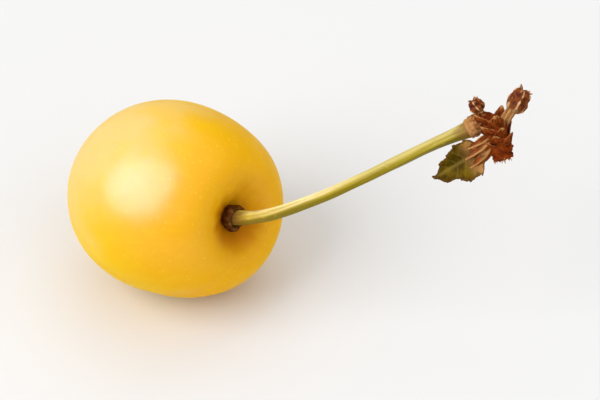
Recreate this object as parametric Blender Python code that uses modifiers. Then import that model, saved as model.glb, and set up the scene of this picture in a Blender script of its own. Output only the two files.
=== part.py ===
"""A yellow sweet cherry on its stem, with the tip of the spur that it was picked with.

Metres, +Z up. The origin is the middle of the flat spot that the fruit rests on. The stem leaves
the fruit towards +X and the front, bends upwards and ends in the spur.
"""
from math import atan2, cos, exp, pi, radians, sin
import random

import bmesh
import bpy
from mathutils import Matrix, Vector

MM = 0.001
GAP = 0.3 * MM  # between two pieces that touch
WELD = 0.01 * MM  # points nearer than this are one

# Where the fruit is, from the middle of its flat spot to its own middle
FRUIT_MIDDLE = Vector((-0.88, -0.82, 11.1)) * MM
STEM_AXIS = Vector((0.75, -0.60, 0.27)).normalized()
SUTURE_ROLL = radians(-44.2)  # turns the suture round the stem axis to the fruit's underside

# The fruit, in polar form about its middle: the angle from the stem axis gives the skin's distance
FRUIT_RADIUS = 11.9 * MM
CHEEK_SHARE = 1.045  # across both cheeks
SUTURE_SHARE = 0.955  # from the suture to the back
SHOULDER_RISE = 0.055
SHOULDER_ANGLE = radians(40)
SHOULDER_SPREAD = radians(24)
TIP_TAPER = 0.035
CAVITY_DEPTH = 3.4 * MM
CAVITY_SPREAD = radians(22)
CAVITY_POWER = 3  # above 2 the cavity has a rounder floor and steeper sides
SUTURE_FLAT = 0.035  # share of the radius that the suture side is flatter
SUTURE_FLAT_SPREAD = 0.55
SUTURE_GROOVE = 0.016
SUTURE_GROOVE_SPREAD = 0.13
FRUIT_SEGMENTS = 56
FRUIT_RINGS = 40
RING_CROWDING = 0.55  # rings lie closer at both ends of the stem axis
SLAB_SIZE = 40 * MM  # the block below the floor that cuts the flat spot

# The corky ring at the stem's foot, with heights along the stem axis from the fruit's middle
RING_TOP = 10.1 * MM
RING_FLOOR = 9.45 * MM
RING_HOLE = 1.18 * MM
RING_ROUNDING = 0.18 * MM
RING_UNDERSIDE = [radians(angle) for angle in (11, 7.5, 4, 0)]  # polar angles of the skin below it
RING_STEPS = 30

# The stem's centre line, from the fruit's middle
STEM_FOOT = RING_FLOOR + GAP
STEM_ROUTE = [
    Vector((9.0, -6.95, 3.85)) * MM,
    Vector((11.8, -7.8, 5.4)) * MM,
    Vector((16.3, -8.0, 7.75)) * MM,
    Vector((20.8, -7.5, 9.95)) * MM,
    Vector((25.2, -6.8, 12.25)) * MM,
    Vector((29.3, -6.0, 14.25)) * MM,
    Vector((33.2, -5.1, 15.7)) * MM,
]
STEM_RADIUS = 0.63 * MM
FOOT_FLARE = 0.25 * MM
FOOT_FLARE_LENGTH = 6.0 * MM
END_FLARE = 0.36 * MM
END_FLARE_LENGTH = 2.2 * MM
STEM_SPAN_POINTS = 5
STEM_RESOLUTION = 3

# The spur: a short woody core, from where it broke off its branch to its tip
SPUR_MIDDLE = Vector((36.3, -6.3, 15.25)) * MM
SPUR_AXIS = Vector((-0.28, 0.52, 0.81)).normalized()
CORE_LENGTH = 4.5 * MM
CORE_RADIUS = 1.3 * MM
CORE_RINGS = 4
CORE_RING_DEPTH = 0.12 * MM
CORE_RING_CUTS = 4  # rows of faces for each ring
CORE_END_ROUNDING = 0.22
CORE_END_POWER = 6  # even, and the higher it is, the nearer to the ends the rounding stays
CORE_STEPS = 16
STUB_ROUTE = [
    Vector((36.2, -6.1, 15.5)) * MM,
    Vector((35.4, -5.3, 16.45)) * MM,
    Vector((34.5, -4.9, 16.55)) * MM,
    Vector((33.5, -5.05, 15.9)) * MM,
]
STUB_RADII = [1.3 * MM, 1.25 * MM, 1.15 * MM, 1.05 * MM]
STUB_SPAN_POINTS = 3
STUB_RESOLUTION = 3
SOCKET_RESOLUTION = 2

# Bud scales, set round the core from its foot to its tip
SCALE_COUNT = 14
SCALE_TURN = radians(137.5)
SCALE_LOWEST = -0.42  # the first scale's root, as a share of the core's length from its middle
SCALE_SPAN = 0.62  # from the first root to the last, as a share of the core's length
SCALE_LENGTH = 2.5 * MM
SCALE_WIDTH = 2.3 * MM
SCALE_THICKNESS = 0.62 * MM
SCALE_SINK = 0.85 * MM  # the root's distance from the core's axis
SCALE_POINT = 0.55  # how much narrower the tip is
SCALE_CUP = 0.9
SCALE_SIZES = (0.8, 1.1)
SCALE_LEANS = (0.35 * MM, 1.0 * MM)  # how far a tip curls outwards
SCALE_TILTS = (0.05, 0.3)
SCALE_SHIFTS = (-0.2, 0.2)  # off the even turn round the core
SCALE_SEED = 11
SCALE_SEGMENTS = 10
SCALE_RINGS = 8

# The withered flower buds, each a short neck that stands in the spur, and a knob at its end
LARGE_NECK = [
    Vector((36.4, -5.8, 16.4)) * MM,
    Vector((37.4, -4.9, 17.6)) * MM,
    Vector((38.5, -3.9, 18.8)) * MM,
]
SMALL_NECK = [
    Vector((34.9, -4.9, 16.6)) * MM,
    Vector((34.4, -4.4, 17.5)) * MM,
    Vector((33.9, -4.0, 18.15)) * MM,
]
LARGE_KNOB = Vector((2.4, 2.2, 3.2)) * MM
SMALL_KNOB = Vector((1.8, 1.7, 1.7)) * MM
LARGE_NECK_RADIUS = 0.62 * MM
SMALL_NECK_RADIUS = 0.45 * MM
NECK_SPAN_POINTS = 3
NECK_RESOLUTION = 2
KNOB_LOBES = 5
KNOB_LOBE_DEPTH = 0.10
KNOB_TWIST = 2.5
KNOB_WAIST_DEPTH = 0.16
KNOB_WAIST_HEIGHT = 0.62
KNOB_WAIST_SPREAD = 0.1
KNOB_SEGMENTS = 20
KNOB_RINGS = 12

# The bract, a small folded leaf scale on a narrow foot, with a toothed edge
BRACT_FOOT = Vector((35.3, -7.1, 15.0)) * MM
BRACT_TIP = Vector((29.3, -9.0, 12.2)) * MM
BRACT_FACE = Vector((0.1, -0.8, 0.6))  # the way its upper face looks
BRACT_WIDTH = 4.0 * MM
BRACT_FOOT_WIDTH = 1.0 * MM
BRACT_FOOT_SHARE = 0.2  # of its length, before the blade widens
BRACT_WIDEST_POWER = 0.5  # below 1 the blade is widest nearer its foot
BRACT_FULLNESS = 0.9  # below 1 the blade's outline is rounder
BRACT_TIP_WIDTH = 0.2 * MM
BRACT_LOWER_SHARE = 1.15  # the half that hangs down is wider
BRACT_THICKNESS = 0.6 * MM
BRACT_FOLD = 0.4
BRACT_CURL = 1.2 * MM
BRACT_TEETH = 6
BRACT_TOOTH = 0.14
BRACT_SPANS = 24
BRACT_RIBS = 8


def clear_scene():
    for item in list(bpy.data.objects):
        bpy.data.objects.remove(item, do_unlink=True)


def new_collection(name):
    collection = bpy.data.collections.new(name)
    bpy.context.scene.collection.children.link(collection)
    return collection


def new_material(name, colour, roughness):
    material = bpy.data.materials.new(name)
    material.use_nodes = True
    shader = material.node_tree.nodes["Principled BSDF"]
    shader.inputs["Base Color"].default_value = (*colour, 1.0)
    shader.inputs["Roughness"].default_value = roughness
    shader.inputs["Metallic"].default_value = 0.0
    return material


def new_object(name, data, collection, material=None, parent=None):
    item = bpy.data.objects.new(name, data)
    collection.objects.link(item)
    if material:
        data.materials.append(material)
    item.parent = parent
    return item


def new_empty(name, location, z_axis, roll, collection, parent):
    """An empty whose Z axis points along z_axis, turned about it by roll."""
    empty = new_object(name, None, collection, None, parent)
    turn = z_axis.to_track_quat("Z", "Y").to_matrix() @ Matrix.Rotation(roll, 3, "Z")
    empty.location = location
    empty.rotation_euler = turn.to_euler()
    return empty


def mesh_from(bm, name, smooth=True):
    mesh = bpy.data.meshes.new(name)
    bm.to_mesh(mesh)
    bm.free()
    if smooth:
        mesh.shade_smooth()
    return mesh


def smooth_route(points, per_span):
    """Points on a Catmull-Rom curve through the given ones, per_span for each span."""
    ends = [2 * points[0] - points[1], *points, 2 * points[-1] - points[-2]]
    route = []
    for before, start, end, after in zip(ends, ends[1:], ends[2:], ends[3:]):
        for step in range(per_span):
            t = step / per_span
            route.append(
                0.5 * (2 * start + (end - before) * t
                       + (2 * before - 5 * start + 4 * end - after) * t**2
                       + (3 * start - before - 3 * end + after) * t**3)
            )
    return [*route, points[-1].copy()]


def tube_curve(name, points, radii, resolution):
    """A round tube with filled ends along points, with its own radius at each."""
    curve = bpy.data.curves.new(name, "CURVE")
    curve.dimensions = "3D"
    curve.bevel_depth = MM
    curve.bevel_resolution = resolution
    curve.use_fill_caps = True
    spline = curve.splines.new("POLY")
    spline.points.add(len(points) - 1)
    for knot, point, radius in zip(spline.points, points, radii):
        knot.co = (*point, 1.0)
        knot.radius = radius / MM
    return curve


def tube_mesh_object(name, points, radii, resolution, collection, parent):
    """The same tube as a closed mesh, ready to be joined to others."""
    item = new_object(name, tube_curve(name, points, radii, resolution), collection)
    item.parent = parent
    bpy.context.view_layer.update()
    graph = bpy.context.evaluated_depsgraph_get()
    mesh = bpy.data.meshes.new_from_object(item.evaluated_get(graph))
    bm = bmesh.new()
    bm.from_mesh(mesh)
    bmesh.ops.remove_doubles(bm, verts=bm.verts, dist=WELD)
    bmesh.ops.recalc_face_normals(bm, faces=bm.faces)
    bm.to_mesh(mesh)
    bm.free()
    solid = new_object(name + "_solid", mesh, collection)
    solid.matrix_world = item.matrix_world
    bpy.data.objects.remove(item, do_unlink=True)
    return solid


def join_into(body, collection):
    """Joins every object of the collection to body, and removes them."""
    union = body.modifiers.new("join", "BOOLEAN")
    union.operation = "UNION"
    union.operand_type = "COLLECTION"
    union.collection = collection
    union.solver = "MANIFOLD"
    bpy.context.view_layer.update()
    graph = bpy.context.evaluated_depsgraph_get()
    joined = bpy.data.meshes.new_from_object(body.evaluated_get(graph))
    body.modifiers.clear()
    body.data = joined
    joined.shade_smooth()
    for item in list(collection.objects):
        bpy.data.objects.remove(item, do_unlink=True)
    bpy.data.collections.remove(collection)


def skin_distance(polar):
    """How far the skin is from the fruit's middle, by the angle from the stem axis."""
    shoulder = SHOULDER_RISE * exp(-(((polar - SHOULDER_ANGLE) / SHOULDER_SPREAD) ** 2))
    taper = TIP_TAPER * (1 - cos(polar)) / 2
    cavity = CAVITY_DEPTH * exp(-((polar / CAVITY_SPREAD) ** CAVITY_POWER))
    return FRUIT_RADIUS * (1 + shoulder - taper) - cavity


def skin_point(polar, around):
    """A point of the fruit's skin, with the suture on the -Y side."""
    distance = skin_distance(polar)
    off_suture = abs((around + pi / 2 + pi) % (2 * pi) - pi)
    flat = SUTURE_FLAT * exp(-((off_suture / SUTURE_FLAT_SPREAD) ** 2)) * sin(polar) ** 2
    groove = SUTURE_GROOVE * exp(-((off_suture / SUTURE_GROOVE_SPREAD) ** 2)) * sin(polar)
    across = distance * sin(polar) * (1 - flat - groove)
    return Vector((
        across * cos(around) * CHEEK_SHARE,
        across * sin(around) * SUTURE_SHARE,
        distance * cos(polar),
    ))


def make_fruit(frame, collection, cutters, material):
    bm = bmesh.new()
    bmesh.ops.create_uvsphere(bm, u_segments=FRUIT_SEGMENTS, v_segments=FRUIT_RINGS, radius=1)
    for vert in bm.verts:
        share = vert.co.angle(Vector((0, 0, 1))) / pi
        polar = pi * (share - RING_CROWDING * sin(2 * pi * share) / (2 * pi))
        vert.co = skin_point(polar, atan2(vert.co.y, vert.co.x))
    fruit = new_object("fruit", mesh_from(bm, "fruit"), collection, material, frame)

    bm = bmesh.new()
    bmesh.ops.create_cube(bm, size=SLAB_SIZE)
    slab = new_object("flat_spot_cutter", mesh_from(bm, "flat_spot_cutter", False), cutters)
    slab.location = (0, 0, -SLAB_SIZE / 2)
    slab.hide_render = True
    slab.display_type = "WIRE"
    cut = fruit.modifiers.new("flat_spot", "BOOLEAN")
    cut.operation = "DIFFERENCE"
    cut.object = slab
    return fruit


def make_receptacle(frame, collection, material):
    """A low cup that the stem's foot stands in. Its underside follows the skin, a gap above it."""
    under = [
        (skin_distance(polar) * sin(polar), skin_distance(polar) * cos(polar) + GAP)
        for polar in RING_UNDERSIDE
    ]
    side = under[0][0]
    outline = [
        (0, RING_FLOOR),
        (RING_HOLE, RING_FLOOR),
        (RING_HOLE, RING_TOP),
        (side - RING_ROUNDING, RING_TOP),
        (side, RING_TOP - RING_ROUNDING),
        *under,
    ]
    bm = bmesh.new()
    corners = [bm.verts.new((radius, 0, height)) for radius, height in outline]
    for first, second in zip(corners, corners[1:]):
        bm.edges.new((first, second))
    ring = new_object("receptacle", mesh_from(bm, "receptacle", False), collection, material, frame)
    turn = ring.modifiers.new("turn", "SCREW")
    turn.steps = RING_STEPS
    turn.render_steps = RING_STEPS
    turn.use_merge_vertices = True
    turn.merge_threshold = WELD
    return ring


def stem_radius(along, length):
    foot = FOOT_FLARE * exp(-along / FOOT_FLARE_LENGTH)
    end = END_FLARE * exp(-(length - along) / END_FLARE_LENGTH)
    return STEM_RADIUS + foot + end


def make_stem(middle, collection, material):
    """The stalk. Returns its route and radii, for the socket that its end stands in."""
    route = smooth_route([STEM_AXIS * STEM_FOOT, *STEM_ROUTE], STEM_SPAN_POINTS)
    steps = [(end - start).length for start, end in zip(route, route[1:])]
    along = [sum(steps[:count]) for count in range(len(route))]
    radii = [stem_radius(distance, along[-1]) for distance in along]
    new_object("stem", tube_curve("stem", route, radii, STEM_RESOLUTION), collection, material, middle)
    return route, radii


def cut_socket(body, name, route, radii, cutters, parent):
    """Cuts room for a neighbour's end out of body: a tube along its route, a gap wider than it."""
    start = route[0] + (route[0] - route[1]).normalized() * GAP
    wider = [radius + GAP for radius in radii]
    points = [start, *route]
    cutter = tube_mesh_object(name, points, [wider[0], *wider], SOCKET_RESOLUTION, cutters, parent)
    cutter.hide_render = True
    cutter.display_type = "WIRE"
    cut = body.modifiers.new(name, "BOOLEAN")
    cut.operation = "DIFFERENCE"
    cut.object = cutter
    cut.solver = "MANIFOLD"


def scale_mesh(name, size, lean):
    """A pointed bud scale that stands on its root, cupped towards -X and leaning out at its tip."""
    bm = bmesh.new()
    bmesh.ops.create_uvsphere(bm, u_segments=SCALE_SEGMENTS, v_segments=SCALE_RINGS, radius=1)
    for vert in bm.verts:
        share = (vert.co.z + 1) / 2
        point = 1 - SCALE_POINT * share**3
        across = vert.co.y * SCALE_WIDTH / 2 * size * point
        cup = -SCALE_CUP * across**2 / SCALE_WIDTH
        thick = vert.co.x * SCALE_THICKNESS / 2
        vert.co = (
            thick + cup + lean * share**2,
            across,
            share * SCALE_LENGTH * size,
        )
    return mesh_from(bm, name)


def stub_radii():
    """The stub's radius at each point of its route."""
    radii = []
    for start, end in zip(STUB_RADII, STUB_RADII[1:]):
        shares = [step / STUB_SPAN_POINTS for step in range(STUB_SPAN_POINTS)]
        radii += [start + (end - start) * share for share in shares]
    return [*radii, STUB_RADII[-1]]


def make_spur(frame, collection, material):
    """The woody core with its rings, the stub towards the stem and the bud scales, joined."""
    bm = bmesh.new()
    bmesh.ops.create_cone(bm, cap_ends=True, segments=CORE_STEPS, radius1=1, radius2=1, depth=1)
    sides = [edge for edge in bm.edges if abs(edge.verts[0].co.z - edge.verts[1].co.z) > 0.5]
    bmesh.ops.subdivide_edges(bm, edges=sides, cuts=CORE_RING_CUTS * CORE_RINGS - 1)
    for vert in bm.verts:
        share = vert.co.z + 0.5
        ring = CORE_RING_DEPTH * cos(2 * pi * CORE_RINGS * share)
        end = CORE_END_ROUNDING * (2 * share - 1) ** CORE_END_POWER
        width = CORE_RADIUS * (1 - end) + ring
        vert.co = (vert.co.x * width, vert.co.y * width, vert.co.z * CORE_LENGTH)
    spur = new_object("spur", mesh_from(bm, "spur"), collection, material, frame)

    extras = new_collection("spur_extras")
    stub_route = smooth_route(STUB_ROUTE, STUB_SPAN_POINTS)
    tube_mesh_object("stub", stub_route, stub_radii(), STUB_RESOLUTION, extras, frame.parent)
    draw = random.Random(SCALE_SEED)
    for index in range(SCALE_COUNT):
        share = index / (SCALE_COUNT - 1)
        mesh = scale_mesh("scale", draw.uniform(*SCALE_SIZES), draw.uniform(*SCALE_LEANS))
        scale = new_object(f"scale_{index}", mesh, extras, None, frame)
        around = index * SCALE_TURN + draw.uniform(*SCALE_SHIFTS)
        height = CORE_LENGTH * (SCALE_LOWEST + SCALE_SPAN * share)
        place = Matrix.Rotation(around, 4, "Z") @ Matrix.Translation((SCALE_SINK, 0, height))
        scale.matrix_local = place @ Matrix.Rotation(draw.uniform(*SCALE_TILTS), 4, "Y")
    join_into(spur, extras)
    return spur


def make_withered_bud(name, neck, neck_radius, size, frame, collection, material):
    """A knob with shrivelled lobes on a short neck. The knob sits on the neck's last point."""
    bm = bmesh.new()
    bmesh.ops.create_uvsphere(bm, u_segments=KNOB_SEGMENTS, v_segments=KNOB_RINGS, radius=1)
    for vert in bm.verts:
        around = atan2(vert.co.y, vert.co.x)
        share = (vert.co.z + 1) / 2
        lobes = 1 + KNOB_LOBE_DEPTH * cos(KNOB_LOBES * around + KNOB_TWIST * share)
        above_waist = (share - KNOB_WAIST_HEIGHT) / KNOB_WAIST_SPREAD
        waist = 1 - KNOB_WAIST_DEPTH * exp(-(above_waist**2))
        vert.co.x *= size.x / 2 * lobes * waist
        vert.co.y *= size.y / 2 * lobes * waist
        vert.co.z *= size.z / 2
    bud = new_object(name, mesh_from(bm, name), collection, material, frame)
    direction = (neck[-1] - neck[0]).normalized()
    bud.location = neck[-1]
    bud.rotation_euler = direction.to_track_quat("Z", "Y").to_euler()

    extras = new_collection(name + "_extras")
    route = smooth_route(neck, NECK_SPAN_POINTS)
    radii = [neck_radius] * len(route)
    tube_mesh_object(name + "_neck", route, radii, NECK_RESOLUTION, extras, frame)
    join_into(bud, extras)
    return bud


def bract_half_width(along):
    """Half the bract's width, with its teeth, by the share of its length from its foot."""
    blade = max(0.0, (along - BRACT_FOOT_SHARE) / (1 - BRACT_FOOT_SHARE))
    outline = sin(pi * blade**BRACT_WIDEST_POWER) ** BRACT_FULLNESS
    tooth = BRACT_TOOTH * ((along * BRACT_TEETH) % 1.0)
    foot = BRACT_FOOT_WIDTH * (1 - along) + BRACT_TIP_WIDTH * along
    return (foot + (BRACT_WIDTH - BRACT_FOOT_WIDTH) * outline * (1 + tooth)) / 2


def make_bract(frame, collection, material):
    """A sheet folded along its midrib and curled at its tip, given its thickness by Solidify."""
    length = (BRACT_TIP - BRACT_FOOT).length
    bm = bmesh.new()
    bmesh.ops.create_grid(bm, x_segments=BRACT_SPANS, y_segments=BRACT_RIBS, size=1)
    for vert in bm.verts:
        along = (vert.co.x + 1) / 2
        side = vert.co.y * BRACT_LOWER_SHARE if vert.co.y > 0 else vert.co.y
        across = side * bract_half_width(along)
        fold = BRACT_FOLD * abs(across)
        curl = BRACT_CURL * along**2
        vert.co = (length * along, across, fold + curl)
    bract = new_object("bract", mesh_from(bm, "bract"), collection, material, frame)
    along_axis = (BRACT_TIP - BRACT_FOOT).normalized()
    side_axis = BRACT_FACE.cross(along_axis).normalized()
    face_axis = along_axis.cross(side_axis)
    turn = Matrix((along_axis, side_axis, face_axis)).transposed()
    bract.location = BRACT_FOOT
    bract.rotation_euler = turn.to_euler()
    wall = bract.modifiers.new("thickness", "SOLIDIFY")
    wall.thickness = BRACT_THICKNESS
    wall.offset = 0
    return bract


def main():
    clear_scene()
    parts = new_collection("cherry")
    cutters = new_collection("cutters")

    skin = new_material("yellow_skin", (0.95, 0.56, 0.06), 0.28)
    cork = new_material("corky_ring", (0.20, 0.07, 0.015), 0.8)
    green = new_material("green_stem", (0.42, 0.40, 0.05), 0.45)
    wood = new_material("dry_spur", (0.21, 0.055, 0.02), 0.75)
    leaf = new_material("olive_bract", (0.17, 0.14, 0.03), 0.7)
    husk = new_material("withered_husk", (0.16, 0.045, 0.02), 0.8)

    middle = new_object("fruit_middle", None, parts)
    middle.location = FRUIT_MIDDLE
    fruit_frame = new_empty("stem_axis", Vector(), STEM_AXIS, SUTURE_ROLL, parts, middle)
    spur_frame = new_empty("spur_axis", SPUR_MIDDLE, SPUR_AXIS, 0.0, parts, middle)

    make_fruit(fruit_frame, parts, cutters, skin)
    make_receptacle(fruit_frame, parts, cork)
    route, radii = make_stem(middle, parts, green)
    spur = make_spur(spur_frame, parts, wood)
    make_bract(middle, parts, leaf)
    buds = [
        ("withered_bud_large", LARGE_NECK, LARGE_NECK_RADIUS, LARGE_KNOB),
        ("withered_bud_small", SMALL_NECK, SMALL_NECK_RADIUS, SMALL_KNOB),
    ]
    for name, neck, neck_radius, size in buds:
        make_withered_bud(name, neck, neck_radius, size, middle, parts, husk)
        neck_route = smooth_route(neck, NECK_SPAN_POINTS)
        cut_socket(spur, name + "_socket", neck_route, [neck_radius] * len(neck_route), cutters, middle)
    stem_end = slice(None, -2 - STEM_SPAN_POINTS, -1)
    cut_socket(spur, "stem_socket", route[stem_end], radii[stem_end], cutters, middle)
    bract_foot = [BRACT_FOOT, BRACT_FOOT.lerp(BRACT_TIP, BRACT_FOOT_SHARE)]
    cut_socket(spur, "bract_socket", bract_foot, [BRACT_FOOT_WIDTH / 2] * 2, cutters, middle)


main()
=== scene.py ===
import random
from math import atan2, cos, exp, pi, radians, sin, sqrt

import bmesh
import bpy
from mathutils import Matrix, Vector, noise


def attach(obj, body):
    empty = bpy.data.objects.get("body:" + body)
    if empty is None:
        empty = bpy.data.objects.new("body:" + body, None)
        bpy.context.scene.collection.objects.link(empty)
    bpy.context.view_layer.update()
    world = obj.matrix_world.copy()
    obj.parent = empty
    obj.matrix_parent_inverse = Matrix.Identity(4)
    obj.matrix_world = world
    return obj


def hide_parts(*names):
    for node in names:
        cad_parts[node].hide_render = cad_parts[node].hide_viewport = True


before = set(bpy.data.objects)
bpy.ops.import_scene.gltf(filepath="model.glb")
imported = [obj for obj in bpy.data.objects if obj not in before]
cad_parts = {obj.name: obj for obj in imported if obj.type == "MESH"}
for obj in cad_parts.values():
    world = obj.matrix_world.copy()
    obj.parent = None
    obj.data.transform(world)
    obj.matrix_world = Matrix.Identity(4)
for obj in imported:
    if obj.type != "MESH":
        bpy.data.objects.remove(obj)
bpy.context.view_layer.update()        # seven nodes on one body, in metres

mm = 0.001
scene = bpy.context.scene

# A ripe yellow cherry as it was picked: fruit, stem, and the tip of the spur at the stem's far end.
# Pieces are modelled in millimetres from the fruit's middle, then set in the frame by intoFrame.
fruitPlace = {
    "middle": Vector((-0.88, -0.82, 11.1)),  # from the middle of the flat spot
    "stemAxis": Vector((0.75, -0.60, 0.27)),
    "sutureRoll": radians(-44.2),            # turns the suture to the underside
}


def axisTurn(axis, roll=0.0):
    return axis.to_track_quat("Z", "Y").to_matrix().to_4x4() @ Matrix.Rotation(roll, 4, "Z")


def turnTo(x, y, z):
    # the turn that lays the three axes on these directions
    return Matrix((x, y, z)).transposed().to_4x4()


fruitTurn = axisTurn(fruitPlace["stemAxis"], fruitPlace["sutureRoll"])
intoFrame = Matrix.Translation(fruitPlace["middle"] * mm) @ Matrix.Scale(mm, 4)


# Modelling helpers

def bumpy(point, size, seed=0):
    # a smooth random height, about -1 to 1, that changes over size
    return noise.noise(point / size + Vector((17.3, 5.1, 9.7)) * seed)


def hill(value, spread):
    return exp(-((value / spread) ** 2))


def smoothRoute(points, perSpan):
    # a soft curve through the given points
    ends = [2 * points[0] - points[1], *points, 2 * points[-1] - points[-2]]
    route = []
    for before, start, end, after in zip(ends, ends[1:], ends[2:], ends[3:]):
        for step in range(perSpan):
            t = step / perSpan
            route.append(0.5 * (2 * start + (end - before) * t
                                + (2 * before - 5 * start + 4 * end - after) * t**2
                                + (3 * start - before - 3 * end + after) * t**3))
    return [*route, points[-1].copy()]


def routeFrames(route):
    # a place and turn at each point of a route, carried along it without twist
    along = (route[1] - route[0]).normalized()
    side = along.orthogonal().normalized()
    frames = []
    for index, point in enumerate(route):
        ahead = route[min(index + 1, len(route) - 1)]
        behind = route[max(index - 1, 0)]
        newAlong = (ahead - behind).normalized()
        side = along.rotation_difference(newAlong) @ side
        along = newAlong
        frames.append(Matrix.Translation(point) @ turnTo(side, along.cross(side), along))
    return frames


def addBall(bm, segments, rings):
    # a ball of radius 1, shaped by the caller
    return bmesh.ops.create_uvsphere(bm, u_segments=segments, v_segments=rings, radius=1)["verts"]


def addTube(bm, route, sides, radiusAt, paint):
    # A closed tube along a route. radiusAt gives its radius by the share of its length and the
    # angle round it, and paint sets a point's attributes before it is bent to the route.
    frames = routeFrames(route)
    spans = len(route) - 1
    verts = bmesh.ops.create_grid(bm, x_segments=sides, y_segments=spans, size=1)["verts"]
    for vert in verts:
        around = pi * vert.co.x
        station = round((vert.co.y + 1) / 2 * spans)
        flat = Vector((cos(around), sin(around), 0)) * radiusAt(station / spans, around)
        paint(vert, station / spans, flat)
        vert.co = frames[station] @ flat
    bmesh.ops.remove_doubles(bm, verts=verts, dist=0.0001)   # closes the seam
    bmesh.ops.holes_fill(bm, edges=[edge for edge in bm.edges if edge.is_boundary])
    bmesh.ops.recalc_face_normals(bm, faces=bm.faces)


def meshFrom(bm, name, finish):
    mesh = bpy.data.meshes.new(name)
    bm.to_mesh(mesh)
    bm.free()
    mesh.materials.append(finish)
    return mesh


def addObject(name, data):
    made = bpy.data.objects.new(name, data)
    scene.collection.objects.link(made)
    return made


def finishPiece(bm, name, finish, nodes=(), sharpOver=None):
    bmesh.ops.transform(bm, matrix=intoFrame, verts=bm.verts)
    mesh = meshFrom(bm, name, finish)
    mesh.shade_smooth()
    if sharpOver:
        mesh.set_sharp_from_angle(angle=sharpOver)
    piece = addObject(name, mesh)
    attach(piece, "root")
    if nodes:
        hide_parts(*nodes)
    print(f"{name}: {sum(len(face.vertices) - 2 for face in mesh.polygons)} triangles")
    return piece


# Material helpers

def newFinish(name, roughness, **uniform):
    # a material, its tree and its shader, with the values that are the same all over it
    finish = bpy.data.materials.new(name)
    finish.use_nodes = True
    shader = finish.node_tree.nodes["Principled BSDF"]
    shader.inputs["Roughness"].default_value = roughness
    for socket, value in uniform.items():
        shader.inputs[socket.replace("_", " ")].default_value = value
    return finish, finish.node_tree, shader


def addNode(tree, kind, inputs=None, **settings):
    made = tree.nodes.new("ShaderNode" + kind)
    for name, value in settings.items():
        setattr(made, name, value)
    for name, value in (inputs or {}).items():
        if isinstance(value, bpy.types.NodeSocket):
            tree.links.new(value, made.inputs[name])
        else:
            made.inputs[name].default_value = value
    return made


def attribute(tree, name, output="Fac"):
    return addNode(tree, "Attribute", attribute_name=name).outputs[output]


def fruitCoords(tree):
    # millimetres from the fruit's middle, with Z along its stem axis
    own = addNode(tree, "TexCoord").outputs["Object"]
    inputs = {
        "Vector": own,
        "Location": fruitPlace["middle"] * mm,
        "Rotation": fruitTurn.to_euler(),
        "Scale": (mm, mm, mm),
    }
    return addNode(tree, "Mapping", inputs, vector_type="TEXTURE").outputs["Vector"]


def stretched(tree, coords, scale):
    return addNode(tree, "Mapping", {"Vector": coords, "Scale": scale}).outputs["Vector"]


def grain(tree, coords, scale, detail=2.0, distortion=0.0):
    inputs = {"Vector": coords, "Scale": scale, "Detail": detail, "Distortion": distortion}
    return addNode(tree, "TexNoise", inputs).outputs["Fac"]


def cells(tree, coords, scale, feature="F1"):
    return addNode(tree, "TexVoronoi", {"Vector": coords, "Scale": scale}, feature=feature)


def fade(tree, value, low, high, start=0.0, end=1.0):
    # start below low, end above high, and a soft step between
    inputs = {"Value": value, "From Min": low, "From Max": high, "To Min": start, "To Max": end}
    return addNode(tree, "MapRange", inputs, interpolation_type="SMOOTHSTEP").outputs["Result"]


def times(tree, first, second):
    return addNode(tree, "Math", {0: first, 1: second}, operation="MULTIPLY").outputs[0]


def plus(tree, first, second):
    return addNode(tree, "Math", {0: first, 1: second}, operation="ADD").outputs[0]


def tint(tree, factor, base, over):
    # over laid on base by factor. Both may be colours or outputs
    inputs = {0: factor, 6: base, 7: over}
    for key in (6, 7):
        if not isinstance(inputs[key], bpy.types.NodeSocket):
            inputs[key] = (*inputs[key], 1.0)
    return addNode(tree, "Mix", inputs, data_type="RGBA").outputs[2]


def relief(tree, height, depth, strength=1.0, under=None):
    inputs = {"Height": height, "Distance": depth * mm, "Strength": strength}
    if under:
        inputs["Normal"] = under
    return addNode(tree, "Bump", inputs).outputs["Normal"]


def dress(tree, shader, colour, roughness=None, normal=None):
    tree.links.new(colour, shader.inputs["Base Color"])
    if roughness:
        tree.links.new(roughness, shader.inputs["Roughness"])
    if normal:
        tree.links.new(normal, shader.inputs["Normal"])


# The fruit's skin, in polar form about the fruit's middle

skinForm = {
    "radius": 11.9,
    "cheeks": 1.045,            # across both cheeks
    "depth": 0.955,             # from the suture to the back
    "shoulder": 0.055,
    "shoulderAngle": radians(40),
    "shoulderSpread": radians(24),
    "tipTaper": 0.035,
    "cavity": 3.4,
    "cavitySpread": radians(22),
    "cavityPower": 3,
    "sutureFlat": 0.035,
    "sutureFlatSpread": 0.55,
    "suture": 0.016,
    "sutureSpread": 0.13,
    "sutureLine": 0.05,         # the fine line in the groove, in millimetres
    "sutureLineSpread": 0.035,
    "creases": 9,               # where the skin draws in round the stem
    "crease": 0.11,
    "creaseAngle": radians(17),
    "creaseSpread": radians(8),
    "tipDimple": 0.42,
    "tipDimpleSpread": radians(6.5),
    "uneven": [(9.0, 0.10), (3.6, 0.022)],   # width and height of its soft unevenness
    "press": 0.14,              # how softly the flat spot turns into the round
    # where the painted sheen of the light and sky lies
    "paintedSheenSide": Vector((-0.75, 0.15, 0.65)),
    "paintedShadeSide": Vector((-0.2, -0.8, -0.65)),   # painted shade, deepest on the cavity's lower side
    "cavityTint": radians(24), "cavityTintPower": 4,
    "sutureTint": 0.05,
    "tipTint": radians(9),
    "segments": 240,
    "rings": 176,
    "crowding": 0.55,           # rings lie closer at both ends
}


def skinReach(polar):
    form = skinForm
    shoulder = form["shoulder"] * hill(polar - form["shoulderAngle"], form["shoulderSpread"])
    taper = form["tipTaper"] * (1 - cos(polar)) / 2
    cavity = form["cavity"] * exp(-((polar / form["cavitySpread"]) ** form["cavityPower"]))
    return form["radius"] * (1 + shoulder - taper) - cavity


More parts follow.
